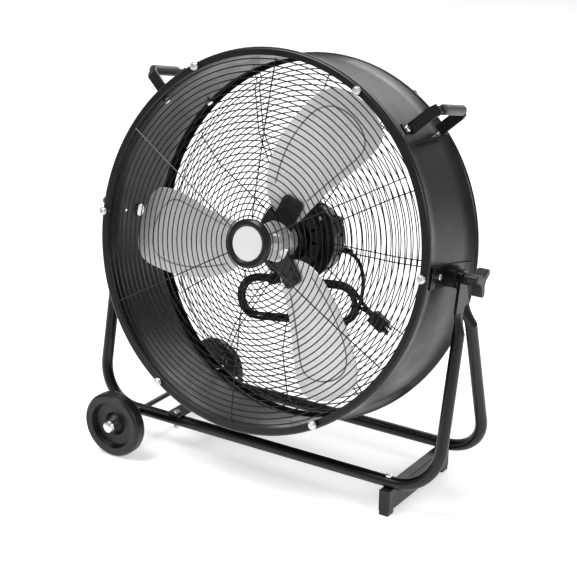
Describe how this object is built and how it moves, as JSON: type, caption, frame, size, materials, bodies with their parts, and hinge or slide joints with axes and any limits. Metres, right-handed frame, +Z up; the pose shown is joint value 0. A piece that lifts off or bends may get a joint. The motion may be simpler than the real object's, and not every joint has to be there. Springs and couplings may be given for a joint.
{
  "type": "drum fan",
  "caption": "Wide sheet-metal drum fan tilted on a two-loop tube stand with two wheels, a foot bar, carrying handles, wire guards and three paddle blades.",
  "frame": {"origin": "on the floor, midway between the two tilt pivots and midway between the front and rear wheels", "axes": "+Z up, the drum's air outlet faces -Y (tilted upwards), +X towards the foot bar, -X towards the wheels"},
  "size_m": [0.7706, 0.3662, 0.7596],
  "materials": {
    "drum_paint": "satin",
    "guard_paint": "gloss",
    "stand_paint": "gloss",
    "foot_bar_paint": "satin",
    "bright_zinc": "bright",
    "blade_aluminium": "satin",
    "badge_silver": "brushed",
    "motor_black": "semi-gloss",
    "bare_steel": "turned",
    "grip_grey": "satin",
    "black_plastic": "satin",
    "switch_plastic": "satin",
    "cord_black": "matte"
  },
  "bodies": {
    "stand": {"stand_front_loop": "stand_paint", "stand_rear_loop": "stand_paint", "axle": "stand_paint", "axle_spacers": "stand_paint", "wheel_caps": "bright_zinc", "foot_bar": "foot_bar_paint", "foot_pads": "black_plastic", "foot_bar_screws": "bright_zinc", "cross_strap": "stand_paint", "strap_screws": "bright_zinc", "strap_nuts": "bright_zinc"},
    "drum": {"cable_gland": "cord_black", "capacitor": "switch_plastic", "cord_hank": "cord_black", "cord_ties": "cord_black", "drum_shell": "drum_paint", "front_badge": "badge_silver", "front_grille": "guard_paint", "front_grille_screws": "bright_zinc", "front_hub_ring": "guard_paint", "handle_grip_left": "grip_grey", "handle_grip_right": "grip_grey", "handle_left": "drum_paint", "handle_nuts": "bright_zinc", "handle_right": "drum_paint", "handle_screws": "bright_zinc", "motor_front_cover": "motor_black", "motor_mount": "guard_paint", "motor_rear_cover": "motor_black", "mount_screws": "bright_zinc", "pivot_bolt_left": "bright_zinc", "pivot_bolt_right": "bright_zinc", "pivot_plate_left": "drum_paint", "pivot_plate_right": "drum_paint", "pivot_washer_left": "switch_plastic", "pivot_washer_right": "switch_plastic", "plate_rivets": "bright_zinc", "plug": "cord_black", "power_cord": "cord_black", "rear_grille": "guard_paint", "rear_grille_screws": "bright_zinc", "speed_switch": "switch_plastic", "stator": "bare_steel", "switch_box": "switch_plastic"},
    "fan": {"motor_shaft": "bare_steel", "rotor": "bare_steel", "front_bearing": "bare_steel", "rear_bearing": "bare_steel", "blade_spider": "motor_black", "hub_boss": "blade_aluminium", "shaft_nut": "bright_zinc", "blade_1": "blade_aluminium", "blade_2": "blade_aluminium", "blade_3": "blade_aluminium", "blade_rivets": "motor_black"},
    "speed_knob": {"speed_knob": "switch_plastic"},
    "tilt_knob_left": {"tilt_knob_left": "black_plastic"},
    "tilt_knob_right": {"tilt_knob_right": "black_plastic"},
    "wheel_front": {"wheel_front": "black_plastic"},
    "wheel_rear": {"wheel_rear": "black_plastic"}
  },
  "joints": [
    {"name": "drum_tilt", "type": "hinge", "parent": "stand", "child": "drum", "pos_m": [0, 0, 0.418], "axis": [1, 0, 0], "range_deg": [-77.8, 57.2]},
    {"name": "fan_spin", "type": "hinge", "parent": "drum", "child": "fan", "pos_m": [0, 0, 0.418], "axis": [0, -0.9774, 0.2113], "continuous": true},
    {"name": "speed_knob_turn", "type": "hinge", "parent": "drum", "child": "speed_knob", "pos_m": [0, 0.14175, 0.40168], "axis": [0, 0.9774, -0.2113], "range_deg": [0, 135]},
    {"name": "tilt_knob_left_turn", "type": "hinge", "parent": "drum", "child": "tilt_knob_left", "pos_m": [-0.37, 0, 0.418], "axis": [1, 0, 0], "continuous": true},
    {"name": "tilt_knob_right_turn", "type": "hinge", "parent": "drum", "child": "tilt_knob_right", "pos_m": [0.37, 0, 0.418], "axis": [1, 0, 0], "continuous": true},
    {"name": "wheel_front_spin", "type": "hinge", "parent": "stand", "child": "wheel_front", "pos_m": [-0.26, -0.1575, 0.0605], "axis": [0, 1, 0], "continuous": true},
    {"name": "wheel_rear_spin", "type": "hinge", "parent": "stand", "child": "wheel_rear", "pos_m": [-0.26, 0.1575, 0.0605], "axis": [0, 1, 0], "continuous": true}
  ]
}
